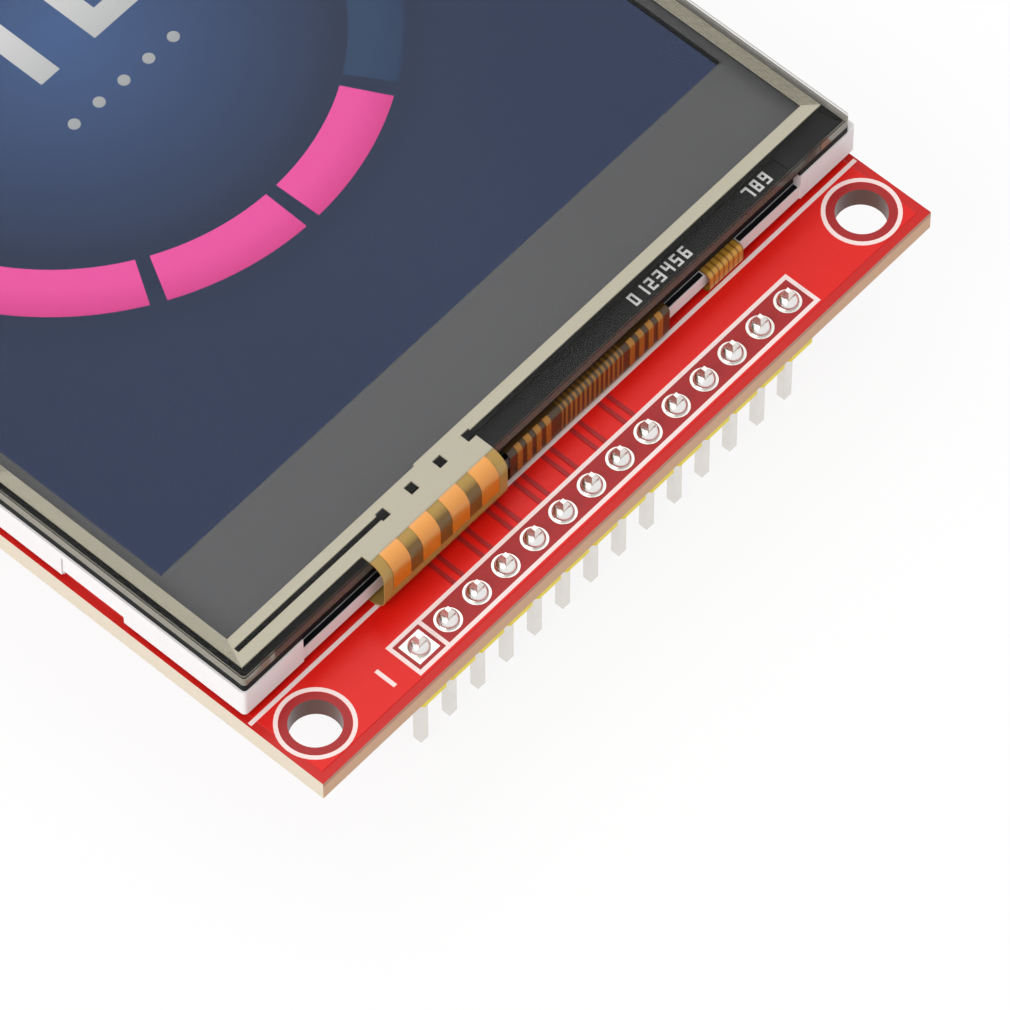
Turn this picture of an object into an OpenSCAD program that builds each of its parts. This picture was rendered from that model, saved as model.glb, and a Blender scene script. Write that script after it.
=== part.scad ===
// Colour display module: a liquid-crystal panel with a resistive touch layer on a red circuit
// board, with a row of header pins at the front end and a card socket on the underside.
//
// Frame: millimetres. X runs along the pin row, Y from the pin row towards the far end, Z up
// through the picture. The origin is the centre of the four mounting holes, on the underside
// of the board.

/* [Board] */
// Board width, along the pin row
board_w = 54.5; // [53:0.1:58]
// Board length
board_l = 89.3; // [88.5:0.1:96]
// Board thickness
board_t = 1.6; // [1:0.1:2.4]
// Mounting hole diameter
hole_d = 3.3; // [2.2:0.1:3.6]
// From a side edge to the centre of a mounting hole
hole_side = 2.78; // [2.5:0.01:3]
// From an end edge to the centre of a mounting hole
hole_end = 3.14; // [2.8:0.01:3.4]
// Thickness of the white print and of the plated pads
print_t = 0.03; // [0.02:0.01:0.06]
// Width of the printed lines
line_w = 0.28; // [0.15:0.01:0.4]
// Middle radius of the printed ring round a mounting hole
ring_r = 2.35; // [2.15:0.05:2.45]
// From an end edge to the printed line across the board
cross_line = 5.94; // [5.8:0.01:6]

/* [Pin header] */
// Number of header pins
pin_count = 14; // [6:1:14]
// Spacing of the pins, and the width and height of the plastic strip
pitch = 2.54; // [2.5:0.01:2.6]
// Side of a square pin
pin_side = 0.64; // [0.5:0.01:0.7]
// How far a pin stands above the board
pin_above = 1.19; // [0.9:0.01:1.5]
// How far a pin reaches below the top of the board
pin_below = 10.37; // [8:0.01:12]
// Length of the pointed end of a pin
pin_point = 0.35; // [0.1:0.05:0.6]
// Diameter of the holes for the pins
pin_hole_d = 1.02; // [1:0.01:1.15]
// Diameter of a solder pad
pad_d = 1.75; // [1.4:0.05:1.9]
// From the front edge to the pin row
pin_setback = 2.17; // [1.9:0.01:2.4]
// Height of the solder round a pin
solder_h = 0.55; // [0.3:0.05:0.8]
// Pads of the spare row at the far end
spare_count = 4; // [2:1:8]

/* [Display frame] */
// From the left edge of the board to the white frame
frame_left = 0.2; // [0.1:0.05:0.4]
// How far the frame reaches past the right edge of the board
frame_over = 0.3; // [0:0.05:0.5]
// From the front edge of the board to the frame
frame_front = 6.35; // [6.3:0.05:6.6]
// From the far edge of the board to the frame
frame_far = 5.85; // [5.8:0.05:7]
// Thickness of the mounting tape
tape_t = 0.45; // [0.2:0.05:0.8]
// From the mounting tape to the frame's edges and to the ribbons
tape_edge = 0.6; // [0.3:0.1:1.2]
// Thickness of the frame's floor
floor_t = 0.55; // [0.3:0.05:1]
// Thickness of the frame's side walls beside the glass
side_wall = 1; // [0.6:0.05:1.2]
// Thickness of the frame's front wall
front_wall = 0.6; // [0.4:0.05:0.7]
// Width of the shelf that the glass rests on
shelf_w = 0.8; // [0.4:0.05:1.2]
// How far the walls stop below the face of the upper polarizer
wall_drop = 0.45; // [0.3:0.05:0.55]
// Corner radius of the frame
frame_r = 0.3; // [0.1:0.05:0.6]
// Length of the full-height corner at each end of the front wall
corner_block = 5.1; // [3:0.1:8]
// How far the low rail between the corners is set back
rail_back = 0.1; // [0.05:0.05:0.2]
// From the front of the frame to the undercut in each side wall
undercut_start = 9.7; // [6:0.1:12]
// Length of the undercut
undercut_l = 4.95; // [2:0.05:8]
// Height of the undercut
undercut_h = 0.6; // [0.3:0.05:0.9]
// Depth of the undercut into the side wall
undercut_d = 0.5; // [0.2:0.05:0.55]

/* [Backlight] */
// Thickness of the reflector sheet
reflector_t = 0.08; // [0.05:0.01:0.15]
// Thickness of the light guide
guide_t = 0.7; // [0.65:0.05:1]
// Thickness of the diffuser sheet
diffuser_t = 0.1; // [0.05:0.05:0.2]
// Thickness of the prism sheet
prism_t = 0.15; // [0.1:0.05:0.25]
// Number of lamps
led_count = 6; // [3:1:6]
// Width of a lamp
led_w = 3; // [2:0.1:3.8]
// Height of a lamp
led_h = 0.6; // [0.4:0.05:0.7]
// Depth of a lamp
led_d = 1.2; // [0.8:0.1:1.3]
// Width of the tail of the lamp strip
led_tail_w = 3.1; // [2:0.1:4]
// From the display ribbon to the tail of the lamp strip
led_tail_gap = 3.75; // [1:0.05:4.5]

/* [Glass] */
// Thickness of each polarizer
polarizer_t = 0.18; // [0.1:0.01:0.25]
// Thickness of the rear glass
rear_glass_t = 0.34; // [0.3:0.01:0.5]
// Thickness of each of the two layers of the picture
picture_t = 0.05; // [0.04:0.01:0.08]
// Thickness of the front glass
front_glass_t = 0.4; // [0.3:0.05:0.6]
// Depth of the ledge in front of the front glass
ledge_d = 1.6; // [1.5:0.05:1.9]
// Width of the driver chip
chip_w = 17; // [12:0.5:22]
// Height of the driver chip
chip_h = 0.3; // [0.2:0.05:0.35]
// Length of the driver chip's and the ribbon's joint on the ledge
bond_d = 0.6; // [0.4:0.05:0.7]
// Height of the numerals on the shield tape
marks_h = 0.9; // [0.6:0.05:1]
// From the corner block to the numerals on the shield tape
marks_side = 1.25; // [0.6:0.05:3]

/* [Picture] */
// From the left side of the frame to the picture
picture_left = 2.62; // [2.4:0.02:3]
// From the right side of the frame to the picture
picture_right = 2.15; // [2.05:0.05:3]
// From the front of the frame to the picture
picture_front = 9.03; // [8.5:0.01:9.5]
// From the far end of the frame to the picture
picture_far = 2; // [1.95:0.05:3]
// Middle radius of the ring gauge
gauge_r = 19.4; // [12:0.1:20]
// Width of the ring gauge
gauge_w = 3.4; // [2:0.1:5]
// Number of blocks in the ring
gauge_blocks = 12; // [8:1:24]
// How far the gauge sits in front of the middle of the picture
gauge_drop = 1.1; // [0:0.1:4]
// Height of the large numerals
digit_h = 10; // [6:0.5:12]
// Radius of the small dots under the numerals
dot_r = 0.4; // [0.2:0.05:0.6]
// Spacing of the small dots
dot_pitch = 2.2; // [1.5:0.1:3]

/* [Touch panel] */
// From the left side of the frame to the touch panel
touch_left = 0.15; // [0.05:0.05:0.2]
// From the right side of the frame to the touch panel
touch_right = 0.55; // [0.1:0.05:0.6]
// From the front of the frame to the touch panel
touch_front = 0.08; // [0.05:0.01:0.15]
// From the far end of the frame to the touch panel
touch_far = 0.12; // [0.05:0.01:0.2]
// Thickness of the black adhesive gasket
gasket_t = 0.15; // [0.1:0.05:0.3]
// Thickness of the touch glass
touch_glass_t = 0.75; // [0.5:0.05:1.1]
// Thickness of the printed electrodes
electrode_t = 0.12; // [0.1:0.01:0.16]
// Thickness of the touch film
film_t = 0.18; // [0.12:0.01:0.25]
// Corner radius of the touch panel
touch_r = 0.25; // [0.1:0.05:0.4]
// From the sides of the touch panel to the electrodes
electrode_edge = 0.52; // [0.4:0.01:0.6]
// From the front of the touch panel to the electrodes
electrode_front = 0.66; // [0.5:0.01:0.7]
// Width of an electrode line
electrode_w = 0.84; // [0.7:0.01:0.86]
// Gap between the two front electrode lines
electrode_gap = 0.4; // [0.3:0.01:0.45]
// From the side of the pad to the first square opening
pad_first = 3; // [2:0.1:3.4]
// Spacing of the square openings in the electrode pad
pad_pitch = 2.5; // [2.3:0.01:2.6]
// Side of the square openings in the electrode pad
pad_window = 0.7; // [0.5:0.05:0.8]
// Step in the inner edge of the pad
pad_step = 0.13; // [0.05:0.01:0.2]

/* [Ribbons] */
// Thickness of the ribbons
ribbon_t = 0.08; // [0.06:0.01:0.09]
// Thickness of the copper on the ribbons
copper_t = 0.03; // [0.02:0.01:0.03]
// From the left side of the frame to the touch ribbon
touch_ribbon_x = 11; // [10.6:0.05:11.2]
// Width of the touch ribbon
touch_ribbon_w = 10.8; // [10:0.1:11]
// How far the touch ribbon bulges out past the glass
touch_bulge = 1.15; // [0.8:0.05:1.4]
// Number of copper bars on the touch ribbon
bar_count = 4; // [2:1:4]
// Width of a copper bar
bar_w = 1.5; // [1:0.1:2]
// From the lower bend of the touch ribbon to the copper bars
bar_foot = 0.55; // [0:0.05:0.8]
// Spacing of the copper bars
bar_pitch = 2.58; // [2.4:0.01:2.7]
// From the touch ribbon to the display ribbon
display_ribbon_gap = 1; // [0.4:0.05:1.5]
// Width of the display ribbon
display_ribbon_w = 14.3; // [13:0.1:15]
// How far the display ribbon bulges out past the glass
display_bulge = 0.38; // [0.36:0.01:0.42]
// Number of copper stripes in each group on the display ribbon
stripe_count = 4; // [2:1:4]
// Width of a copper stripe
stripe_w = 0.45; // [0.3:0.05:0.5]
// Spacing of the copper stripes
stripe_pitch = 0.85; // [0.7:0.05:0.9]
// Length of each ribbon under the frame
ribbon_under = 6; // [4:0.5:12]

/* [Card socket] */
// Depth of the socket, across the board
socket_d = 26.5; // [24:0.1:28]
// Height of the socket
socket_h = 2.9; // [2.7:0.05:3.4]
// Width of the slot for the card
slot_w = 24.4; // [24.2:0.1:25]
// Width of the moulded rail on each side of the slot
rail_w = 1.6; // [1:0.1:2.5]
// Depth of the moulded block across the closed end
back_d = 3.2; // [2:0.1:5]
// Length of a window in the shell
window_l = 6; // [3:0.5:9]
// Width of a window in the shell
window_w = 2; // [1:0.1:3]
// Side of a solder foot of the shell
foot_side = 2; // [1:0.1:2.5]
// Thickness of the steel shell
shell_t = 0.2; // [0.15:0.05:0.3]
// From the side of the board to the mouth of the socket
socket_side = 1.2; // [0.5:0.1:3]
// From the far edge of the board to the socket
socket_far = 9.65; // [9:0.05:12]
// Number of contacts
contact_count = 8; // [4:1:8]
// Spacing of the contacts
contact_pitch = 2.5; // [2.2:0.05:2.7]
// Width of a contact
contact_w = 1.2; // [0.8:0.1:1.5]
// Thickness of a contact
contact_t = 0.15; // [0.1:0.05:0.2]
// How far a contact's foot stands out behind the socket
foot_out = 1.5; // [1:0.1:2]
// Length of a contact inside the slot
tongue_l = 7; // [5:0.5:9]
// How far a contact bends into the slot
tongue_rise = 0.9; // [0.5:0.1:1.2]

/* [Small parts] */
// Length of the touch controller
ctrl_l = 5; // [4:0.1:6]
// Width of the touch controller
ctrl_w = 4.4; // [3.6:0.1:5]
// Height of the touch controller
ctrl_h = 1; // [0.7:0.1:1.4]
// Leads on each side of the touch controller
ctrl_leads = 8; // [4:1:8]
// Width of a lead
lead_w = 0.3; // [0.2:0.05:0.35]
// From the middle of the board to the controller, along X
ctrl_x = -12; // [-16:0.5:-6]
// From the middle of the board to the controller, along Y
ctrl_y = -18; // [-20:0.5:-16]
// Length of a small three-leg chip
small_l = 2.9; // [2.5:0.1:3.2]
// Width of a small three-leg chip
small_w = 1.3; // [1.2:0.1:1.6]
// Height of a small three-leg chip
small_h = 1; // [0.8:0.1:1.3]
// From the middle of the board to the first small chip
small_x = 2; // [0:0.5:4]
// Spacing of the small chips
small_pitch = 10; // [6:0.5:12]
// Length of a resistor
resistor_l = 1.6; // [1:0.1:2]
// Width of a resistor
resistor_w = 0.8; // [0.5:0.1:1.2]
// Height of a resistor
resistor_h = 0.45; // [0.3:0.05:0.6]
// Spacing of the resistors
resistor_pitch = 3.6; // [3:0.1:4.2]
// Number of resistors
resistor_count = 8; // [4:1:9]
// From the middle of the board to the row of resistors
resistor_y = -30; // [-32:0.5:-26]
// Length of a capacitor
capacitor_l = 2; // [1.6:0.1:3.2]
// Width of a capacitor
capacitor_w = 1.2; // [0.8:0.1:1.6]
// Height of a capacitor
capacitor_h = 0.9; // [0.6:0.1:1.2]
// Spacing of the capacitors
capacitor_pitch = 5; // [4:0.5:6]
// Number of capacitors
capacitor_count = 4; // [2:1:4]
// From the middle of the board to the row of capacitors
capacitor_y = -11; // [-13:0.5:-9]

/* [Hidden] */
$fn = 48;
tiny = 0.01;

// Board
board_x0 = -board_w / 2;
board_y0 = -board_l / 2;
board_y1 = board_l / 2;
board_top = board_t;
pin_y = board_y0 + pin_setback;
spare_y = board_y1 - pin_setback;
header_w = pin_count * pitch;
body_top = -print_t;
body_bottom = body_top - pitch;
pin_top = board_top + pin_above;
pin_bottom = board_top - pin_below;
pad_r = pad_d / 2;

// Display frame, from its underside up
frame_x0 = board_x0 + frame_left;
frame_x1 = -board_x0 + frame_over;
frame_y0 = board_y0 + frame_front;
frame_y1 = board_y1 - frame_far;
frame_z0 = board_top + tape_t;
floor_top = frame_z0 + floor_t;
guide_z0 = floor_top + reflector_t;
diffuser_z0 = guide_z0 + guide_t;
prism_z0 = diffuser_z0 + diffuser_t;
shelf_z = prism_z0 + prism_t + polarizer_t;
rear_top = shelf_z + rear_glass_t;
gauge_z0 = rear_top + picture_t;
front_z0 = gauge_z0 + picture_t;
front_top = front_z0 + front_glass_t;
frame_top = front_top + polarizer_t;
wall_top = frame_top - wall_drop;
rail_top = floor_top + led_h;

// Glass, inside the frame
fit_gap = 0.1;
glass_x0 = frame_x0 + side_wall + fit_gap;
glass_x1 = frame_x1 - side_wall - fit_gap;
glass_y0 = frame_y0 + front_wall + fit_gap;
glass_y1 = frame_y1 - side_wall - fit_gap;
ledge_y = glass_y0 + ledge_d;
sheet_x0 = glass_x0 + shelf_w;
sheet_x1 = glass_x1 - shelf_w;
sheet_y1 = glass_y1 - shelf_w;
guide_y0 = ledge_y + fit_gap;
lamp_y0 = glass_y0 + fit_gap;
pic_x0 = frame_x0 + picture_left;
pic_x1 = frame_x1 - picture_right;
pic_y0 = frame_y0 + picture_front;
pic_y1 = frame_y1 - picture_far;
gauge_cx = (pic_x0 + pic_x1) / 2;
gauge_cy = (pic_y0 + pic_y1) / 2 - gauge_drop;

// Touch panel, on top of the frame
touch_x0 = frame_x0 + touch_left;
touch_x1 = frame_x1 - touch_right;
touch_y0 = frame_y0 + touch_front;
touch_y1 = frame_y1 - touch_far;
touch_glass_z0 = frame_top + gasket_t;
electrode_z0 = touch_glass_z0 + touch_glass_t;
film_z0 = electrode_z0 + electrode_t;
edge_x0 = touch_x0 + electrode_edge;
edge_x1 = touch_x1 - electrode_edge;
edge_y0 = touch_y0 + electrode_front;
edge_y1 = touch_y1 - electrode_edge;
ring_y0 = edge_y0 + electrode_w + electrode_gap;
pad_x0 = frame_x0 + touch_ribbon_x;
pad_x1 = pad_x0 + touch_ribbon_w;
window_x0 = edge_x0 + electrode_w;
window_x1 = edge_x1 - electrode_w;
window_y0 = ring_y0 + electrode_w;
window_y1 = edge_y1 - electrode_w;

// Ribbons
display_x0 = pad_x1 + display_ribbon_gap;
display_x1 = display_x0 + display_ribbon_w;
tail_x0 = display_x1 + led_tail_gap;
tail_x1 = tail_x0 + led_tail_w;
touch_ribbon_top = electrode_z0 + ribbon_t;
display_ribbon_top = rear_top + ribbon_t;
bond_y = glass_y0 + bond_d;
bond_gap = 0.15;
notch_x0 = frame_x0 + corner_block;
notch_x1 = frame_x1 - corner_block;

// Card socket, under the board
socket_x1 = board_w / 2 - socket_side;
socket_x0 = socket_x1 - socket_d;
socket_y1 = board_y1 - socket_far;
socket_y0 = socket_y1 - slot_w - 2 * (rail_w + shell_t);
socket_y = (socket_y0 + socket_y1) / 2;
base_h = socket_h - shell_t;

function pin_name(i) = str("header_pin_", i < 10 ? "0" : "", i);
function led_name(i) = str("led_", i);
function pin_x(i) = (i - (pin_count + 1) / 2) * pitch;
function spare_x(i) = (i - (spare_count + 1) / 2) * pitch;
function led_x(i) = sheet_x0 + (i - 0.5) * (sheet_x1 - sheet_x0) / led_count;
function bar_x(i) = (pad_x0 + pad_x1) / 2 + (i - (bar_count + 1) / 2) * bar_pitch;

// ---------------------------------------------------------------- helpers

// A box given by its lowest and highest corners
module block(a, b) {
    translate(a) cube(b - a);
}

// A flat plate between two corners, with its four upright edges rounded
module round_plate(x0, y0, x1, y1, z0, h, r) {
    translate([0, 0, z0]) linear_extrude(h) {
        translate([x0 + r, y0]) square([x1 - x0 - 2 * r, y1 - y0]);
        translate([x0, y0 + r]) square([x1 - x0, y1 - y0 - 2 * r]);
        for (x = [x0 + r, x1 - r], y = [y0 + r, y1 - r]) translate([x, y]) circle(r);
    }
}

// An outline drawn in Y and Z, drawn out along X
module along_x(x0, x1) {
    translate([x0, 0, 0]) rotate([90, 0, 90]) linear_extrude(x1 - x0) children();
}

// Four copies, one in each corner of the board
module at_mounting_holes() {
    for (sx = [-1, 1], sy = [-1, 1])
        translate([sx * (board_w / 2 - hole_side), sy * (board_l / 2 - hole_end), 0]) children();
}

// A straight printed line from a to b, along X or Y
module printed_line(a, b) {
    h = line_w / 2;
    linear_extrude(print_t) translate(a - [h, h]) square(b - a + [line_w, line_w]);
}

// A printed outline round the box between a and b
module printed_box(a, b) {
    linear_extrude(print_t) difference() {
        translate(a - [line_w, line_w] / 2) square(b - a + [line_w, line_w]);
        translate(a + [line_w, line_w] / 2) square(b - a - [line_w, line_w]);
    }
}

module printed_ring(r) {
    difference() {
        cylinder(h = print_t, r = r + line_w / 2);
        translate([0, 0, -tiny]) cylinder(h = print_t + 2 * tiny, r = r - line_w / 2);
    }
}

// Side view of a ribbon: in at the top, round the edge, down and back in underneath
module ribbon_profile(edge_y, top, top_end, low, low_end, bulge, t) {
    translate([edge_y, top - t]) square([top_end - edge_y, t]);
    translate([edge_y, low]) square([low_end - edge_y, t]);
    translate([edge_y - bulge, low + bulge]) square([t, top - low - 2 * bulge]);
    for (z = [top - bulge, low + bulge]) intersection() {
        difference() {
            translate([edge_y, z]) circle(bulge);
            translate([edge_y, z]) circle(bulge - t);
        }
        if (z > (top + low) / 2) translate([edge_y - bulge, z]) square(bulge);
        else translate([edge_y - bulge, z - bulge]) square(bulge);
    }
}

// Side view of the copper on the outer face of a ribbon's upper bend and straight drop, which
// ends a little way above the lower bend
module copper_profile(edge_y, top, low, bulge, foot) {
    r = bulge + copper_t;
    translate([edge_y - r, low + bulge + foot]) square([copper_t, top - low - 2 * bulge - foot]);
    intersection() {
        difference() {
            translate([edge_y, top - bulge]) circle(r);
            translate([edge_y, top - bulge]) circle(bulge);
        }
        translate([edge_y - r, top - bulge]) square(r);
    }
}

// ---------------------------------------------------------------- board

// A hole right through the board
module through_hole(r) {
    translate([0, 0, -1]) cylinder(h = board_t + 2, r = r);
}

module board() {
    color([0.84, 0.1, 0.1]) difference() {
        block([board_x0, board_y0, 0], [-board_x0, board_y1, board_top]);
        at_mounting_holes() through_hole(hole_d / 2);
        for (i = [1:pin_count]) translate([pin_x(i), pin_y, 0]) through_hole(pin_hole_d / 2);
        for (i = [1:spare_count]) translate([spare_x(i), spare_y, 0]) through_hole(pin_hole_d / 2);
    }
}

// One pad: square for the first pin, round for the others
module pad(is_first) {
    difference() {
        if (is_first) translate([-pad_r, -pad_r, 0]) cube([pad_d, pad_d, print_t]);
        else cylinder(h = print_t, r = pad_r);
        translate([0, 0, -tiny]) cylinder(h = print_t + 2 * tiny, r = pin_hole_d / 2);
    }
}

module plated_pads() {
    color([0.78, 0.76, 0.7]) for (z = [board_top, -print_t]) {
        for (i = [1:pin_count]) translate([pin_x(i), pin_y, z]) pad(i == 1);
        for (i = [1:spare_count]) translate([spare_x(i), spare_y, z]) pad(i == 1);
    }
}

// Print shared by both faces: a ring at each hole, a box round each row of pads
module shared_print() {
    at_mounting_holes() printed_ring(ring_r);
    row = [header_w, pitch] / 2;
    spare = [spare_count * pitch, pitch] / 2;
    printed_box([0, pin_y] - row, [0, pin_y] + row);
    printed_box([0, spare_y] - spare, [0, spare_y] + spare);
}

module front_print() {
    divider_x = pin_x(1) + pitch / 2;
    end_x = board_w / 2 - line_w;
    numeral_x = pin_x(1) - 1.15 * pitch;
    color([0.97, 0.9, 0.9]) translate([0, 0, board_top]) {
        shared_print();
        printed_line([divider_x, pin_y - pitch / 2], [divider_x, pin_y + pitch / 2]);
        for (y = [board_y0 + cross_line, board_y1 - cross_line])
            printed_line([-end_x, y], [end_x, y]);
        printed_line([numeral_x, pin_y - pitch / 4], [numeral_x, pin_y + pitch / 4]);
    }
}

module back_print() {
    color([0.97, 0.9, 0.9]) translate([0, 0, -print_t]) {
        shared_print();
        printed_line([socket_x0 - 1.5 * foot_out, socket_y0], [socket_x0 - 1.5 * foot_out, socket_y1]);
        printed_line([ctrl_x - ctrl_l / 2, ctrl_y - ctrl_w], [ctrl_x + ctrl_l / 2, ctrl_y - ctrl_w]);
        for (i = [1:resistor_count]) translate([resistor_x(i), resistor_y - resistor_l, 0])
            printed_line([-resistor_w / 2, 0], [resistor_w / 2, 0]);
    }
}

// ---------------------------------------------------------------- pin header

// The plastic strip: one cell for each pin, with its corners cut where it snaps apart
module header_body() {
    cut = pitch / 8;
    h = pitch / 2;
    bore = pin_side + 0.02;
    color([0.93, 0.85, 0.15]) for (i = [1:pin_count]) translate([pin_x(i), pin_y, body_bottom])
        difference() {
            linear_extrude(pitch) polygon([
                [-h, -h + cut], [-h + cut, -h], [h - cut, -h], [h, -h + cut],
                [h, h - cut], [h - cut, h], [-h + cut, h], [-h, h - cut]]);
            translate([-bore / 2, -bore / 2, -1]) cube([bore, bore, pitch + 2]);
        }
}

module header_pin(i) {
    s = pin_side;
    color([0.8, 0.79, 0.75]) translate([pin_x(i), pin_y, 0]) {
        translate([-s / 2, -s / 2, pin_bottom + pin_point])
            cube([s, s, pin_top - pin_bottom - 2 * pin_point]);
        translate([0, 0, pin_top - pin_point])
            linear_extrude(pin_point, scale = 0.45) square(s, center = true);
        translate([0, 0, pin_bottom + pin_point]) mirror([0, 0, 1])
            linear_extrude(pin_point, scale = 0.45) square(s, center = true);
    }
}

// Solder: fills each pin hole and climbs a little way up the pin in a hollow curve
module header_solder() {
    foot_r = pad_r * 0.92;
    top_r = pin_side * 0.75;
    hollow = foot_r - top_r;
    color([0.82, 0.82, 0.82]) for (i = [1:pin_count]) translate([pin_x(i), pin_y, 0])
        difference() {
            union() {
                translate([0, 0, body_top]) cylinder(h = board_t + 2 * print_t, r = pin_hole_d / 2);
                translate([0, 0, board_top + print_t]) rotate_extrude() difference() {
                    square([foot_r, solder_h]);
                    translate([top_r, 0]) polygon([for (k = [0:8]) let (a = k * 90 / 8)
                        [hollow * (1 - cos(a)), solder_h * (1 - sin(a))]]);
                    translate([top_r, 0]) polygon([[0, solder_h + tiny], [hollow + tiny, solder_h + tiny],
                        [hollow + tiny, 0], [hollow, 0], [0, solder_h]]);
                }
            }
            translate([-pin_side / 2, -pin_side / 2, -1]) cube([pin_side, pin_side, pin_top + 1]);
        }
}

// ---------------------------------------------------------------- frame and backlight

// Two strips of foam tape between the board and the frame
module mounting_tape() {
    y0 = frame_y0 + 2 * tape_edge;
    y1 = frame_y1 - 2 * tape_edge;
    color([0.94, 0.93, 0.9]) {
        block([frame_x0 + tape_edge, y0, board_top], [pad_x0 - tape_edge, y1, frame_z0]);
        block([tail_x1 + tape_edge, y0, board_top], [-board_x0 - tape_edge, y1, frame_z0]);
    }
}

// An undercut along the foot of a side wall, with a fine upright groove at its inner end
module undercut(y_start, y_groove) {
    for (x = [frame_x0, frame_x1]) {
        block([x - undercut_d, y_start, frame_z0 - tiny],
              [x + undercut_d, y_start + undercut_l, frame_z0 + undercut_h]);
        block([x - 0.12, y_groove - 0.08, frame_z0 - tiny],
              [x + 0.12, y_groove + 0.08, wall_top - 0.5]);
    }
}

module backlight_frame() {
    far_start = frame_y1 - undercut_start - undercut_l;
    color([0.95, 0.95, 0.94]) difference() {
        round_plate(frame_x0, frame_y0, frame_x1, frame_y1, frame_z0, wall_top - frame_z0, frame_r);
        // the sheets and the light guide
        block([sheet_x0 - fit_gap, glass_y0 - fit_gap, floor_top],
              [sheet_x1 + fit_gap, sheet_y1 + fit_gap, frame_top + 1]);
        // the glass, on its shelf
        block([glass_x0 - fit_gap, glass_y0 - fit_gap, shelf_z],
              [glass_x1 + fit_gap, glass_y1 + fit_gap, frame_top + 1]);
        // the opening above the rail, where the ribbons leave
        block([notch_x0, frame_y0 - 1, rail_top], [notch_x1, glass_y0, frame_top + 1]);
        block([notch_x0, frame_y0 - 1, frame_z0 - 1], [notch_x1, frame_y0 + rail_back, rail_top + tiny]);
        undercut(frame_y0 + undercut_start, frame_y0 + undercut_start + undercut_l);
        undercut(far_start, far_start);
    }
}

// One sheet of the backlight, from z up
module sheet(z, t) {
    block([sheet_x0, guide_y0, z], [sheet_x1, sheet_y1, z + t]);
}

module reflector_sheet() {
    color([0.98, 0.98, 0.98]) sheet(floor_top, reflector_t);
}

module light_guide() {
    color([0.85, 0.93, 0.95, 0.6]) sheet(guide_z0, guide_t);
}

module diffuser_sheet() {
    color([0.93, 0.95, 0.96]) sheet(diffuser_z0, diffuser_t);
}

module prism_sheet() {
    color([0.88, 0.9, 0.95]) sheet(prism_z0, prism_t);
}

// The strip that carries the lamps on its underside, and its tail round the rail
module led_strip() {
    y1 = lamp_y0 + led_d;
    color([0.8, 0.58, 0.2]) {
        block([sheet_x0, lamp_y0, rail_top], [sheet_x1, y1, rail_top + ribbon_t]);
        along_x(tail_x0, tail_x1)
            ribbon_profile(frame_y0 + rail_back, rail_top + ribbon_t, y1, board_top,
                frame_y0 + ribbon_under, display_bulge, ribbon_t);
    }
}

module led(i) {
    color([0.97, 0.95, 0.8])
        block([led_x(i) - led_w / 2, lamp_y0, floor_top], [led_x(i) + led_w / 2, lamp_y0 + led_d, rail_top]);
}

// ---------------------------------------------------------------- glass

module lower_polarizer() {
    color([0.3, 0.32, 0.36]) sheet(shelf_z - polarizer_t, polarizer_t);
}

module rear_glass() {
    color([0.6, 0.7, 0.72, 0.5]) block([glass_x0, glass_y0, shelf_z], [glass_x1, glass_y1, rear_top]);
}

// The lit picture: a dark blue field under a ring gauge of separate blocks
arc_first = 7;
arc_blocks = 3;
block_angle_gap = 3;

module picture_field() {
    color([0.24, 0.28, 0.4])
        block([pic_x0, pic_y0, rear_top], [pic_x1, pic_y1, gauge_z0]);
}

// One block of the ring, number k counted from the right, with a gap at each end
module gauge_block(k) {
    step = 360 / gauge_blocks;
    a0 = k * step + block_angle_gap / 2;
    a1 = (k + 1) * step - block_angle_gap / 2;
    far = gauge_r * 1.5;
    translate([gauge_cx, gauge_cy, gauge_z0]) linear_extrude(picture_t) intersection() {
        difference() {
            circle(gauge_r + gauge_w / 2);
            circle(gauge_r - gauge_w / 2);
        }
        polygon([[0, 0], far * [cos(a0), sin(a0)], far * [cos(a1), sin(a1)]]);
    }
}

function is_lit(k) = k >= arc_first && k < arc_first + arc_blocks;

module picture_gauge() {
    color([0.26, 0.35, 0.45]) for (k = [0:gauge_blocks - 1]) if (!is_lit(k)) gauge_block(k);
}

module picture_arc() {
    color([0.9, 0.31, 0.6]) for (k = [0:gauge_blocks - 1]) if (is_lit(k)) gauge_block(k);
}

// Plain numerals built from bars: each row says which of the seven bars are lit
bars_of = [[1, 1, 1, 0, 1, 1, 1], [0, 0, 1, 0, 0, 1, 0], [1, 0, 1, 1, 1, 0, 1], [1, 0, 1, 1, 0, 1, 1],
           [0, 1, 1, 1, 0, 1, 0], [1, 1, 0, 1, 0, 1, 1], [1, 1, 0, 1, 1, 1, 1], [1, 0, 1, 0, 0, 1, 0],
           [1, 1, 1, 1, 1, 1, 1], [1, 1, 1, 1, 0, 1, 1]];

module numeral(n, h) {
    w = h * 0.55;
    t = h * 0.16;
    lit = bars_of[n];
    half = (h - t) / 2;
    if (lit[0]) translate([0, h - t]) square([w, t]);
    if (lit[1]) translate([0, half]) square([t, half + t]);
    if (lit[2]) translate([w - t, half]) square([t, half + t]);
    if (lit[3]) translate([0, half]) square([w, t]);
    if (lit[4]) square([t, half + t]);
    if (lit[5]) translate([w - t, 0]) square([t, half + t]);
    if (lit[6]) square([w, t]);
}

module picture_digits() {
    step = digit_h * 0.75;
    color([0.88, 0.9, 0.94]) translate([gauge_cx, gauge_cy, gauge_z0]) linear_extrude(picture_t) {
        translate([-step, -digit_h * 0.2]) numeral(4, digit_h);
        translate([step * 0.15, -digit_h * 0.2]) numeral(2, digit_h);
        for (k = [-2:2]) translate([k * dot_pitch, -digit_h * 0.55]) circle(dot_r);
    }
}

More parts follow.
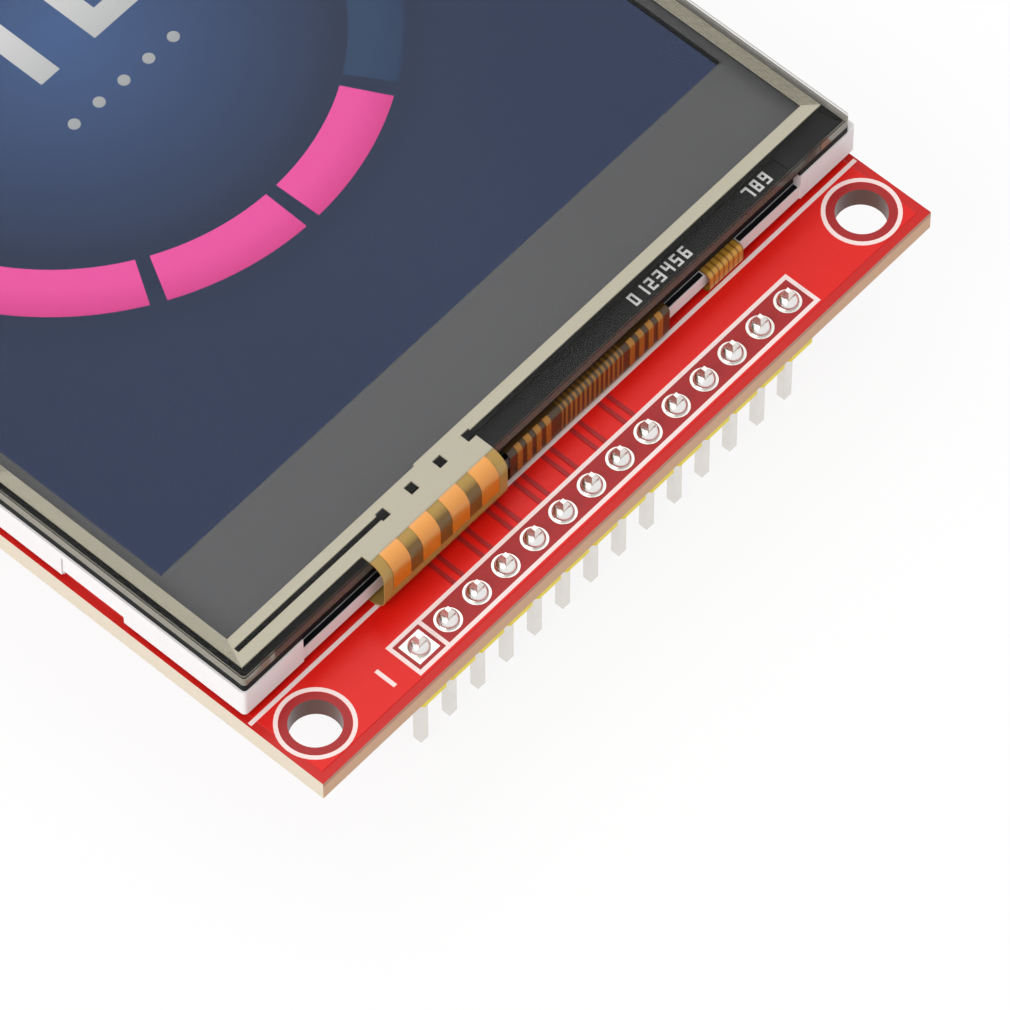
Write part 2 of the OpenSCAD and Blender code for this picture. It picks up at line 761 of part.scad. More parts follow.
module front_glass() {
    color([0.62, 0.72, 0.75, 0.2]) block([glass_x0, ledge_y, front_z0], [glass_x1, glass_y1, front_top]);
}

module upper_polarizer() {
    inset = 0.2;
    color([0.38, 0.38, 0.39, 0.3])
        block([glass_x0 + inset, ledge_y + inset, front_top],
              [glass_x1 - inset, glass_y1 - inset, frame_top]);
}

module driver_chip() {
    middle = (display_x0 + display_x1) / 2;
    color([0.2, 0.2, 0.22])
        block([middle - chip_w / 2, bond_y + bond_gap, rear_top],
              [middle + chip_w / 2, ledge_y - bond_gap, rear_top + chip_h]);
}

// ---------------------------------------------------------------- ribbons and tape

module display_ribbon() {
    color([0.36, 0.24, 0.12]) along_x(display_x0, display_x1)
        ribbon_profile(frame_y0, display_ribbon_top, bond_y, board_top, frame_y0 + ribbon_under,
            display_bulge, ribbon_t);
}

// Two groups of copper stripes on the display ribbon
module display_copper() {
    group_w = (stripe_count - 1) * stripe_pitch;
    left = display_x0 + stripe_pitch;
    right = display_x1 - stripe_pitch - group_w;
    color([0.6, 0.38, 0.12]) for (x = [left, right], k = [0:stripe_count - 1])
        along_x(x + k * stripe_pitch - stripe_w / 2, x + k * stripe_pitch + stripe_w / 2)
            copper_profile(frame_y0, display_ribbon_top, board_top, display_bulge, 0);
}

module touch_ribbon() {
    color([0.85, 0.66, 0.28]) along_x(pad_x0, pad_x1)
        ribbon_profile(touch_y0, touch_ribbon_top, edge_y0, board_top, frame_y0 + ribbon_under,
            touch_bulge, ribbon_t);
}

module touch_copper() {
    color([0.9, 0.58, 0.1]) for (i = [1:bar_count])
        along_x(bar_x(i) - bar_w / 2, bar_x(i) + bar_w / 2)
            copper_profile(touch_y0, touch_ribbon_top, board_top, touch_bulge, bar_foot);
}

// Black tape over the ledge, folded down behind the opening above the rail
module shield_tape() {
    t = ribbon_t;
    face_y = glass_y0 - fit_gap - t;
    x0 = notch_x0 + fit_gap;
    x1 = notch_x1 - fit_gap;
    color([0.1, 0.1, 0.11]) difference() {
        union() {
            block([x0, face_y, frame_top - t], [x1, ledge_y, frame_top]);
            block([x0, face_y, rail_top + 2 * t], [x1, face_y + t, frame_top]);
        }
        block([display_x0 - fit_gap, face_y - 1, rail_top],
              [display_x1 + fit_gap, face_y + 2 * t, display_ribbon_top + t]);
    }
}

// Small plain numerals printed in two groups on the black tape
module panel_marks() {
    h = marks_h;
    step = h * 0.85;
    y = (edge_y0 + ring_y0 - h) / 2;
    color([0.85, 0.85, 0.85]) translate([0, y, frame_top]) linear_extrude(print_t) {
        for (k = [0:6]) translate([display_x1 + (k - 2) * step, 0]) numeral(k, h);
        for (k = [0:2]) translate([notch_x1 - marks_side + (k - 3) * step, 0]) numeral(k + 7, h);
    }
}

// ---------------------------------------------------------------- touch panel

// Black adhesive ring, with the window for the picture and a slot over the shield tape. A rim
// under its outer edge reaches down beside the glass to the walls of the frame.
module touch_gasket() {
    lap = electrode_w / 2;
    z0 = frame_top - 1;
    z1 = frame_top + 1;
    color([0.13, 0.14, 0.15]) difference() {
        round_plate(touch_x0, touch_y0, touch_x1, touch_y1, wall_top, wall_drop + gasket_t, touch_r);
        block([edge_x0 + lap, ring_y0 + lap, z0], [edge_x1 - lap, edge_y1 - lap, z1]);
        block([notch_x0 + lap, edge_y0, z0], [notch_x1 - lap, ring_y0, z1]);
        block([glass_x0 - fit_gap, glass_y0 - fit_gap, z0],
              [glass_x1 + fit_gap, glass_y1 + fit_gap, frame_top]);
        block([notch_x0, touch_y0 - 1, z0], [notch_x1, glass_y0, frame_top]);
    }
}

module touch_glass() {
    color([0.7, 0.78, 0.76, 0.15]) round_plate(touch_x0, touch_y0, touch_x1, touch_y1,
        touch_glass_z0, touch_glass_t, touch_r);
}

// The printed lines: a ring round the window, a second front line on the left, and the pad
// that joins them to the touch ribbon
module touch_electrodes() {
    mid_y = ring_y0 - electrode_gap / 2;
    first = pad_x0 + pad_first;
    color([0.75, 0.73, 0.65]) difference() {
        translate([0, 0, electrode_z0]) linear_extrude(electrode_t) difference() {
            union() {
                difference() {
                    translate([edge_x0, ring_y0]) square([edge_x1 - edge_x0, edge_y1 - ring_y0]);
                    translate([window_x0, window_y0]) square([window_x1 - window_x0, window_y1 - window_y0]);
                }
                translate([edge_x0, edge_y0]) square([pad_x0 - edge_x0 + 1, electrode_w]);
                translate([edge_x0, edge_y0]) square([electrode_w * 0.75, ring_y0 - edge_y0 + tiny]);
                translate([pad_x0, touch_y0]) square([touch_ribbon_w, ring_y0 - touch_y0 + tiny]);
            }
            translate([pad_x0 - tiny, ring_y0 - electrode_gap]) square([first - pad_x0, electrode_gap]);
            translate([window_x0, window_y0 - pad_step])
                square([first + 1.5 * pad_pitch - window_x0, pad_step + tiny]);
            for (k = [0:bar_count - 1])
                translate([first + k * pad_pitch - pad_window / 2, mid_y - pad_window / 2])
                    square(pad_window);
        }
        block([pad_x0 - 0.05, touch_y0 - 1, electrode_z0 - 1], [pad_x1 + 0.05, edge_y0, touch_ribbon_top]);
    }
}

module touch_film() {
    color([0.8, 0.84, 0.84, 0.15])
        round_plate(touch_x0, touch_y0, touch_x1, touch_y1, film_z0, film_t, touch_r);
}

// ---------------------------------------------------------------- card socket

// Folded steel cover: a plate, two sides and four solder feet
module socket_shell() {
    color([0.75, 0.76, 0.77]) {
        difference() {
            block([socket_x0, socket_y0, -socket_h], [socket_x1, socket_y1, -socket_h + shell_t]);
            for (y = [socket_y - slot_w / 4, socket_y + slot_w / 4])
                translate([socket_x0 + back_d + foot_side, y - window_w / 2, -socket_h - 1])
                    cube([window_l, window_w, socket_h]);
        }
        for (y = [socket_y0, socket_y1 - shell_t])
            block([socket_x0, y, -socket_h], [socket_x1, y + shell_t, 0]);
        for (x = [socket_x0 + foot_side, socket_x1 - 2 * foot_side], y = [socket_y0 - foot_side, socket_y1])
            translate([x, y - tiny, -shell_t]) cube([foot_side, foot_side + 2 * tiny, shell_t]);
    }
}

// Moulded base: two side rails and a block across the closed end that holds the contacts
module socket_base() {
    y0 = socket_y0 + shell_t;
    y1 = socket_y1 - shell_t;
    color([0.12, 0.12, 0.13]) difference() {
        union() {
            block([socket_x0, y0, -base_h], [socket_x0 + back_d, y1, 0]);
            block([socket_x0, y0, -base_h], [socket_x1, y0 + rail_w, 0]);
            block([socket_x0, y1 - rail_w, -base_h], [socket_x1, y1, 0]);
        }
        for (k = [1:contact_count]) translate([0, contact_y(k), 0])
            block([socket_x0 - 1, -contact_w / 2, -contact_t], [socket_x0 + back_d + 1, contact_w / 2, 1]);
    }
}

function contact_y(k) = socket_y + (k - (contact_count + 1) / 2) * contact_pitch;

// Flat springs: a foot on the board, under the block, and a tongue that rises into the slot
module socket_contacts() {
    x1 = socket_x0 + back_d;
    x2 = x1 + tongue_l * 0.8;
    x3 = x1 + tongue_l;
    z2 = -tongue_rise;
    z3 = -tongue_rise / 2;
    color([0.85, 0.68, 0.3]) for (k = [1:contact_count])
        translate([0, contact_y(k) + contact_w / 2, 0]) rotate([90, 0, 0]) linear_extrude(contact_w)
            polygon([[socket_x0 - foot_out, 0], [x1, 0], [x2, z2], [x3, z3], [x3, z3 - contact_t],
                [x2, z2 - contact_t], [x1, -contact_t], [socket_x0 - foot_out, -contact_t]]);
}

// ---------------------------------------------------------------- small parts

chip_z = 0.1;
small_y = ctrl_y - ctrl_w / 2;
function small_chip_x(i) = small_x + (i - 1) * small_pitch;
function resistor_x(i) = ctrl_x - ctrl_l + (i - 1) * resistor_pitch;
function capacitor_x(i) = ctrl_x - 1.6 * ctrl_l + (i - 1) * capacitor_pitch;
function ctrl_lead_x(k) = ctrl_x + (k - (ctrl_leads + 1) / 2) * ctrl_l / (ctrl_leads + 0.5);

// A moulded chip body under the board, clear of the board by the height of its feet
module chip_body(x, y, l, w, h) {
    block([x - l / 2, y - w / 2, -h], [x + l / 2, y + w / 2, -chip_z]);
}

module touch_controller() {
    color([0.13, 0.13, 0.14]) difference() {
        chip_body(ctrl_x, ctrl_y, ctrl_l, ctrl_w, ctrl_h);
        translate([ctrl_x - ctrl_l / 2 + 0.7, ctrl_y - ctrl_w / 2 + 0.7, -ctrl_h - 1])
            cylinder(h = 1.05, r = 0.3);
    }
}

module small_chips() {
    color([0.13, 0.13, 0.14]) for (i = [1:2])
        chip_body(small_chip_x(i), small_y, small_l, small_w, small_h);
}

// One lead: out of the body's side at mid height, down to the board and out along it
module lead(x, y, side, h, w) {
    mid = -h / 2;
    t = 0.12;
    out = 0.35;
    foot = 0.5;
    translate([x - w / 2, y, 0]) rotate([90, 0, 90]) linear_extrude(w) scale([side, 1]) union() {
        translate([0, mid - t / 2]) square([out + t, t]);
        translate([out, mid - t / 2]) square([t, -mid + t / 2]);
        translate([out, -t]) square([foot, t]);
    }
}

module chip_leads() {
    color([0.78, 0.78, 0.76]) {
        for (k = [1:ctrl_leads], side = [-1, 1])
            lead(ctrl_lead_x(k), ctrl_y + side * ctrl_w / 2, side, ctrl_h, lead_w);
        for (i = [1:2], side = [-1, 0, 1]) lead(small_chip_x(i) + side * small_l / 3,
            small_y + (side == 0 ? 1 : -1) * small_w / 2, side == 0 ? 1 : -1, small_h, lead_w);
    }
}

module resistors() {
    color([0.15, 0.15, 0.16]) for (i = [1:resistor_count])
        translate([resistor_x(i) - resistor_w / 2, resistor_y - resistor_l / 2, -resistor_h])
            cube([resistor_w, resistor_l, resistor_h]);
}

module capacitors() {
    color([0.72, 0.6, 0.42]) for (i = [1:capacitor_count])
        translate([capacitor_x(i) - capacitor_l / 2, capacitor_y - capacitor_w / 2, -capacitor_h])
            cube([capacitor_l, capacitor_w, capacitor_h]);
}

// ---------------------------------------------------------------- nodes

board();
plated_pads();
front_print();
back_print();
header_body();
header_solder();
for (i = [1:pin_count]) header_pin(i);
mounting_tape();
backlight_frame();
reflector_sheet();
light_guide();
diffuser_sheet();
prism_sheet();
led_strip();
for (i = [1:led_count]) led(i);
lower_polarizer();
rear_glass();
picture_field();
picture_gauge();
picture_arc();
picture_digits();
front_glass();
upper_polarizer();
driver_chip();
display_ribbon();
display_copper();
shield_tape();
panel_marks();
touch_gasket();
touch_glass();
touch_electrodes();
touch_film();
touch_ribbon();
touch_copper();
socket_shell();
socket_base();
socket_contacts();
touch_controller();
small_chips();
chip_leads();
resistors();
capacitors();
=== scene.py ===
# %% [markdown]
# # A colour display on its circuit board
# The real object is a stack: a red circuit board, two strips of tape, a white plastic frame
# with the backlight in it, two sheets of glass with the picture between them, and a touch
# panel on top. The solids come ready made and to size. This lesson dresses them: it gives
# each surface its finish, adds the small relief that is finer than the solids, and sets the
# lamps and the camera.

# %% Load the ready-made solids
import bmesh
import bpy
from mathutils import Matrix, Vector


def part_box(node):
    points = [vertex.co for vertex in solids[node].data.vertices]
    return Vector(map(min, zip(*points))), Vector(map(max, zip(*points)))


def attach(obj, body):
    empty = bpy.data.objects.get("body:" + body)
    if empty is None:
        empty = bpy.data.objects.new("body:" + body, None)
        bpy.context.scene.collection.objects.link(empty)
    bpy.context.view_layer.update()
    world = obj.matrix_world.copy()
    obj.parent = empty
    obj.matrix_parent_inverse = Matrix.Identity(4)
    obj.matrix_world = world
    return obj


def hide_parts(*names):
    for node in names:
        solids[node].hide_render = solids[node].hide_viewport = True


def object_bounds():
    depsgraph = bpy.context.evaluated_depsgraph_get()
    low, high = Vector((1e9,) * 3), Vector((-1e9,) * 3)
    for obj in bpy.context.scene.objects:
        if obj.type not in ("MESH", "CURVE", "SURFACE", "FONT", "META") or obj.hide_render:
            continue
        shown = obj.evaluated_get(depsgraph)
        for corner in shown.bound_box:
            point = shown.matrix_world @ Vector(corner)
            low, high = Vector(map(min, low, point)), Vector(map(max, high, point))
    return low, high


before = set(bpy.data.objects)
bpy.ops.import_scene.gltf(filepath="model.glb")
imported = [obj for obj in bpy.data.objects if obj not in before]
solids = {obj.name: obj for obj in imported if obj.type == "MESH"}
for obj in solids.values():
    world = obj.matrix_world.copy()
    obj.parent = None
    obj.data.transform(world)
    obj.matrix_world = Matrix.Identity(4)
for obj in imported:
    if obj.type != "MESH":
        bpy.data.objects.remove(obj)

MM = 0.001
cad_low, cad_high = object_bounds()
print("solids:", len(solids), "overall size in mm:", [round(v / MM, 1) for v in cad_high - cad_low])

# %% [markdown]
# ## The camera
# A long lens from some way off keeps parallel edges nearly parallel, as product pictures
# have it. The camera's place is given in the board's own frame, and two directions turn it:
# the line of sight, and the direction that comes out level in the picture. The third, up,
# is square to both and follows from them.

# %% Set up the camera
camera_place = Vector((-229.52, -242.05, 464.97)) * MM
camera_ahead = Vector((0.404696, 0.366149, -0.837948))
camera_right = Vector((0.668304, -0.743885, -0.002283))

camera_data = bpy.data.cameras.new("camera")
camera_data.lens = 332.0
camera_data.sensor_width = 36.0
camera_data.clip_start = 0.05
camera = bpy.data.objects.new("camera", camera_data)
bpy.context.scene.collection.objects.link(camera)
camera_up = camera_right.cross(camera_ahead)
turn = Matrix((camera_right, camera_up, -camera_ahead)).transposed().to_4x4()
camera.matrix_world = Matrix.Translation(camera_place) @ turn
bpy.context.scene.camera = camera
bpy.context.scene.view_settings.view_transform = "Standard"
paths = bpy.context.scene.cycles
paths.max_bounces = 4
paths.diffuse_bounces = 2
paths.glossy_bounces = 2
paths.transparent_max_bounces = 10
print("camera is", round(camera_place.length / MM), "mm from the board's middle")

# %% [markdown]
# ## The room
# A plain white surrounding lights everything softly. The world looks white to the camera and
# in reflections, but gives the object only part of its light, and two large lamps give the
# rest: one on the left, so that the left faces come out brighter than the front ones, and one
# high at the back.

# %% Light the room
def seen_directly(tree):
    """1 for rays that look at a surface or mirror it, 0 for rays that gather light."""
    rays = tree.nodes.new("ShaderNodeLightPath")
    most = rays.outputs["Is Camera Ray"]
    for kind in ("Is Glossy Ray", "Is Transmission Ray"):
        larger = tree.nodes.new("ShaderNodeMath")
        larger.operation = "MAXIMUM"
        tree.links.new(most, larger.inputs[0])
        tree.links.new(rays.outputs[kind], larger.inputs[1])
        most = larger.outputs[0]
    return most


WORLD_LIGHT = 0.62
world = bpy.data.worlds.new("soft_room")
bpy.context.scene.world = world
world.use_nodes = True
world.cycles.sampling_method = "NONE"
sky = world.node_tree.nodes["Background"]
sky.inputs["Color"].default_value = (1, 1, 1, 1)
strength = world.node_tree.nodes.new("ShaderNodeMapRange")
strength.inputs["To Min"].default_value = WORLD_LIGHT
strength.inputs["To Max"].default_value = 1.0
world.node_tree.links.new(seen_directly(world.node_tree), strength.inputs["Value"])
world.node_tree.links.new(strength.outputs["Result"], sky.inputs["Strength"])


def add_lamp(name, place, size, power):
    """A square soft lamp at a place in metres, turned to face the middle of the board."""
    data = bpy.data.lights.new(name, "AREA")
    data.size = size
    data.energy = power
    lamp = bpy.data.objects.new(name, data)
    bpy.context.scene.collection.objects.link(lamp)
    away = Vector(place)
    lamp.matrix_world = Matrix.Translation(away) @ away.to_track_quat("Z", "Y").to_matrix().to_4x4()
    return lamp


add_lamp("left_lamp", (-0.42, -0.02, 0.40), 0.35, 1.6)
add_lamp("high_lamp", (0.10, 0.30, 0.62), 0.45, 0.9)

print("lamps:", [lamp.name for lamp in bpy.data.lights])

# %% [markdown]
# ## Helpers for materials
# A material is a small network of nodes. A few short functions keep the networks readable:
# one feeds a socket, one makes a sum, one mixes two colours. Colours are easiest to judge as
# screen values from 0 to 255, so one function turns those into the linear values that the
# shader works with.

# %% Node helpers
def screen(red, green, blue):
    """A colour given in screen values from 0 to 255, as linear light."""
    def linear(value):
        value /= 255
        return value / 12.92 if value <= 0.04045 else ((value + 0.055) / 1.055) ** 2.4
    return (linear(red), linear(green), linear(blue), 1.0)


def feed(tree, socket, value):
    """Feeds a socket from another node's output, or sets it to a plain value."""
    if isinstance(value, bpy.types.NodeSocket):
        tree.links.new(value, socket)
    else:
        socket.default_value = value


def sum_of(tree, operation, *values):
    node = tree.nodes.new("ShaderNodeMath")
    node.operation = operation
    for socket, value in zip(node.inputs, values):
        feed(tree, socket, value)
    return node.outputs[0]


def clamp(tree, value):
    node = tree.nodes.new("ShaderNodeClamp")
    feed(tree, node.inputs["Value"], value)
    return node.outputs[0]


def mix(tree, share, first, second):
    node = tree.nodes.new("ShaderNodeMix")
    node.data_type = "RGBA"
    feed(tree, node.inputs[0], share)
    feed(tree, node.inputs[6], first)
    feed(tree, node.inputs[7], second)
    return node.outputs[2]


def place_of(tree):
    """The three object coordinates of the shaded point, in metres."""
    source = tree.nodes.new("ShaderNodeTexCoord")
    parts = tree.nodes.new("ShaderNodeSeparateXYZ")
    tree.links.new(source.outputs["Object"], parts.inputs[0])
    return parts.outputs[0], parts.outputs[1], parts.outputs[2]


def new_group(name, inputs, outputs):
    """A node group: inputs are (name, kind, value), outputs are (name, kind)."""
    group = bpy.data.node_groups.new(name, "ShaderNodeTree")
    for label, kind, value in inputs:
        socket = group.interface.new_socket(name=label, in_out="INPUT", socket_type=kind)
        socket.default_value = value
    for label, kind in outputs:
        group.interface.new_socket(name=label, in_out="OUTPUT", socket_type=kind)
    start = group.nodes.new("NodeGroupInput")
    end = group.nodes.new("NodeGroupOutput")
    return group, start.outputs, end.inputs


def use(tree, group, **values):
    """Places a group in a material; an input's spaces are written as underlines."""
    node = tree.nodes.new("ShaderNodeGroup")
    node.node_tree = group
    for label, value in values.items():
        feed(tree, node.inputs[label.replace("_", " ")], value)
    return node.outputs


NUMBER = "NodeSocketFloat"
COLOUR = "NodeSocketColor"

# %% [markdown]
# ## The floor
# The floor glows white to the camera, with a tenth of real shading left in it near the board,
# which keeps the shadow. Further off that tenth fades out, because nothing shades the floor
# there, and a surface that only glows costs no light rays.

# %% Lay the floor
floor_z = cad_low.z - 0.02 * MM
FLOOR_SIZE = 3.0
sheet = bmesh.new()
bmesh.ops.create_grid(sheet, x_segments=1, y_segments=1, size=FLOOR_SIZE / 2)
bmesh.ops.translate(sheet, verts=sheet.verts, vec=(0, 0, floor_z))
floor_mesh = bpy.data.meshes.new("floor")
sheet.to_mesh(floor_mesh)
sheet.free()
floor = bpy.data.objects.new("floor", floor_mesh)
bpy.context.scene.collection.objects.link(floor)

FLOOR_SHADING = 0.1
SHADE_NEAR = 8 * MM
SHADE_FAR = 26 * MM
floor_material = bpy.data.materials.new("white_floor")
floor_material.use_nodes = True
tree = floor_material.node_tree
matt = tree.nodes["Principled BSDF"]
matt.inputs["Base Color"].default_value = (0.94, 0.94, 0.94, 1)
matt.inputs["Roughness"].default_value = 0.9
x, y, z = place_of(tree)
out_x = sum_of(tree, "MAXIMUM", sum_of(tree, "SUBTRACT", sum_of(tree, "ABSOLUTE", x), cad_high.x), 0.0)
out_y = sum_of(tree, "MAXIMUM", sum_of(tree, "SUBTRACT", sum_of(tree, "ABSOLUTE", y), cad_high.y), 0.0)
squares = sum_of(tree, "MULTIPLY_ADD", out_x, out_x, sum_of(tree, "MULTIPLY", out_y, out_y))
away = sum_of(tree, "SQRT", squares)
near = clamp(tree, sum_of(tree, "DIVIDE", sum_of(tree, "SUBTRACT", SHADE_FAR, away),
                          SHADE_FAR - SHADE_NEAR))
shading = sum_of(tree, "MULTIPLY", near, FLOOR_SHADING)
share = sum_of(tree, "MULTIPLY", seen_directly(tree), sum_of(tree, "SUBTRACT", 1.0, shading))
glow = tree.nodes.new("ShaderNodeEmission")
both = tree.nodes.new("ShaderNodeMixShader")
feed(tree, both.inputs["Fac"], share)
feed(tree, both.inputs[1], matt.outputs[0])
feed(tree, both.inputs[2], glow.outputs[0])
feed(tree, tree.nodes["Material Output"].inputs["Surface"], both.outputs[0])
floor_mesh.materials.append(floor_material)
print("floor lies at", round(floor_z / MM, 2), "mm")

# %% [markdown]
# ## Effects that several materials share
# No real surface is one flat colour. Solder mask has a fine orange-peel skin, plastic a matt
# grain, and even print varies a little. One group gives that: a colour and a roughness that
# wander by a named amount, and a height for the bump. Four more give masks: the side and
# upper faces of a plate, a rectangle, a row of lines, and a round spot.

# %% Build the shared groups
def build_grain():
    group, given, result = new_group(
        "surface_grain",
        [("Colour", COLOUR, (0.5, 0.5, 0.5, 1)), ("Roughness", NUMBER, 0.5),
         ("Scale", NUMBER, 400.0), ("Amount", NUMBER, 0.05)],
        [("Colour", COLOUR), ("Roughness", NUMBER), ("Height", NUMBER)])
    source = group.nodes.new("ShaderNodeTexCoord")
    fine = group.nodes.new("ShaderNodeTexNoise")
    fine.inputs["Detail"].default_value = 1.0
    group.links.new(source.outputs["Object"], fine.inputs["Vector"])
    group.links.new(given["Scale"], fine.inputs["Scale"])
    swing = sum_of(group, "SUBTRACT", fine.outputs[0], 0.5)
    change = sum_of(group, "MULTIPLY", swing, given["Amount"])
    brightness = sum_of(group, "MULTIPLY_ADD", change, 2.0, 1.0)
    scaled = group.nodes.new("ShaderNodeVectorMath")
    scaled.operation = "SCALE"
    group.links.new(given["Colour"], scaled.inputs[0])
    group.links.new(brightness, scaled.inputs["Scale"])
    group.links.new(scaled.outputs[0], result["Colour"])
    rough = sum_of(group, "MULTIPLY_ADD", change, 2.0, given["Roughness"])
    group.links.new(clamp(group, rough), result["Roughness"])
    group.links.new(fine.outputs[0], result["Height"])
    return group


def build_sides():
    group, given, result = new_group("side_faces", [("Softness", NUMBER, 0.3)],
                                     [("Mask", NUMBER), ("Upper", NUMBER)])
    source = group.nodes.new("ShaderNodeTexCoord")
    parts = group.nodes.new("ShaderNodeSeparateXYZ")
    group.links.new(source.outputs["Normal"], parts.inputs[0])
    upright = sum_of(group, "SUBTRACT", 0.7, sum_of(group, "ABSOLUTE", parts.outputs[2]))
    group.links.new(clamp(group, sum_of(group, "DIVIDE", upright, given["Softness"])), result["Mask"])
    facing = sum_of(group, "SUBTRACT", parts.outputs[2], 0.7)
    group.links.new(clamp(group, sum_of(group, "DIVIDE", facing, given["Softness"])), result["Upper"])
    return group


def build_rectangle():
    group, given, result = new_group(
        "rectangle",
        [("X", NUMBER, 0.0), ("Y", NUMBER, 0.0), ("Left", NUMBER, 0.0), ("Right", NUMBER, 0.0),
         ("Front", NUMBER, 0.0), ("Far", NUMBER, 0.0), ("Softness", NUMBER, 0.0001)],
        [("Mask", NUMBER)])
    inside = sum_of(group, "MINIMUM",
                    sum_of(group, "SUBTRACT", given["X"], given["Left"]),
                    sum_of(group, "SUBTRACT", given["Right"], given["X"]))
    for a, b in ((given["Y"], given["Front"]), (given["Far"], given["Y"])):
        inside = sum_of(group, "MINIMUM", inside, sum_of(group, "SUBTRACT", a, b))
    edge = sum_of(group, "ADD", sum_of(group, "DIVIDE", inside, given["Softness"]), 0.5)
    group.links.new(clamp(group, edge), result["Mask"])
    return group


def build_lines():
    group, given, result = new_group(
        "row_of_lines",
        [("Position", NUMBER, 0.0), ("Start", NUMBER, 0.0), ("Pitch", NUMBER, 0.001),
         ("Width", NUMBER, 0.0002), ("Softness", NUMBER, 0.00004)],
        [("Mask", NUMBER)])
    along = sum_of(group, "SUBTRACT", given["Position"], given["Start"])
    half_pitch = sum_of(group, "MULTIPLY", given["Pitch"], 0.5)
    away = sum_of(group, "PINGPONG", along, half_pitch)
    inside = sum_of(group, "SUBTRACT", sum_of(group, "MULTIPLY", given["Width"], 0.5), away)
    edge = sum_of(group, "ADD", sum_of(group, "DIVIDE", inside, given["Softness"]), 0.5)
    group.links.new(clamp(group, edge), result["Mask"])
    return group


def build_spot():
    group, given, result = new_group(
        "round_spot",
        [("X", NUMBER, 0.0), ("Y", NUMBER, 0.0), ("Radius", NUMBER, 0.001),
         ("Softness", NUMBER, 0.0001)],
        [("Mask", NUMBER)])
    square = sum_of(group, "ADD", sum_of(group, "MULTIPLY", given["X"], given["X"]),
                    sum_of(group, "MULTIPLY", given["Y"], given["Y"]))
    inside = sum_of(group, "SUBTRACT", given["Radius"], sum_of(group, "SQRT", square))
    edge = sum_of(group, "ADD", sum_of(group, "DIVIDE", inside, given["Softness"]), 0.5)
    group.links.new(clamp(group, edge), result["Mask"])
    return group


surface_grain = build_grain()
side_faces = build_sides()
rectangle = build_rectangle()
row_of_lines = build_lines()
round_spot = build_spot()
print("shared groups:", [g.name for g in bpy.data.node_groups])

# %% [markdown]
# Most finishes differ only in a few numbers, so one function makes them: a colour, how rough
# and how metallic it is, and how much its grain shows in colour and in relief. It gives back
# the network too, for the finishes that go on to something special.

# %% A function for plain finishes
class Finish:
    """A material with its node tree, its shader and its grain."""

    def __init__(self, name, colour, roughness, metal=0.0, grain=400.0, amount=0.05, relief=0.01,
                 gloss=0.5):
        self.material = bpy.data.materials.new(name)
        self.material.use_nodes = True
        self.tree = self.material.node_tree
        self.shader = self.tree.nodes["Principled BSDF"]
        self.grain = use(self.tree, surface_grain, Colour=colour, Roughness=roughness,
                         Scale=grain, Amount=amount)
        self.shader.inputs["Metallic"].default_value = metal
        self.shader.inputs["Specular IOR Level"].default_value = gloss
        feed(self.tree, self.shader.inputs["Base Color"], self.grain["Colour"])
        feed(self.tree, self.shader.inputs["Roughness"], self.grain["Roughness"])
        if relief:
            self.bump = self.tree.nodes.new("ShaderNodeBump")
            self.bump.inputs["Strength"].default_value = 1.0
            self.bump.inputs["Distance"].default_value = relief * MM
            feed(self.tree, self.bump.inputs["Height"], self.grain["Height"])
            feed(self.tree, self.shader.inputs["Normal"], self.bump.outputs[0])

    def tint(self, colour):
        """Puts another colour, plain or worked out, under the grain."""
        feed(self.tree, self.grain["Colour"].node.inputs["Colour"], colour)


def dress(finish, *names):
    """Gives a finish to solids, named exactly or by how their names begin."""
    for name in names:
        for key, solid in solids.items():
            if key == name or (name.endswith("*") and key.startswith(name[:-1])):
                solid.data.materials.clear()
                solid.data.materials.append(finish.material)


# %% [markdown]
# ## The circuit board
# The board is glass fibre with a red lacquer on both faces. Under the lacquer lies copper,
# nearly everywhere: it makes the lacquer brighter, and where it is etched away the red turns
# darker and lies lower. It stops short of the board's edge, round the mounting holes and
# round the pin row, and a thin trace leaves each of seven pins between two etched lines. All
# that is one mask, which drives the colour and the bump. The sawn edges show the bare fibre.
# The left edge is painted cream as painted light from the left lamp, and the walls of the
# mounting holes are painted dark brown as painted shade.

# %% Finish the board
board_low, board_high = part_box("board")
pin_low, pin_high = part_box("header_pin_01")
last_low, last_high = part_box("header_pin_14")
pin_y = (pin_low.y + pin_high.y) / 2
first_pin_x = (pin_low.x + pin_high.x) / 2
last_pin_x = (last_low.x + last_high.x) / 2
pitch = (last_pin_x - first_pin_x) / 13

POUR_EDGE = 0.6 * MM
TRACE_GAP = 0.33 * MM
TRACE_SIDE = 0.37 * MM
RING_CLEAR = 2.2 * MM
COPPER_RED = screen(224, 20, 10)
EDGE_RED = screen(200, 24, 18)
BARE_RED = screen(166, 30, 32)
FIBRE = screen(206, 158, 118)
LIT_LEFT_CREAM = screen(222, 208, 186)
HOLE_SHADE_BROWN = screen(96, 52, 40)

lacquer = Finish("red_lacquer", COPPER_RED, 0.3, grain=900.0, amount=0.02, relief=0.0015, gloss=0.3)
tree = lacquer.tree
x, y, z = place_of(tree)


def band(left, right, front, far, softness=0.08 * MM):
    return use(tree, rectangle, X=x, Y=y, Left=left, Right=right, Front=front, Far=far,
               Softness=softness)[0]


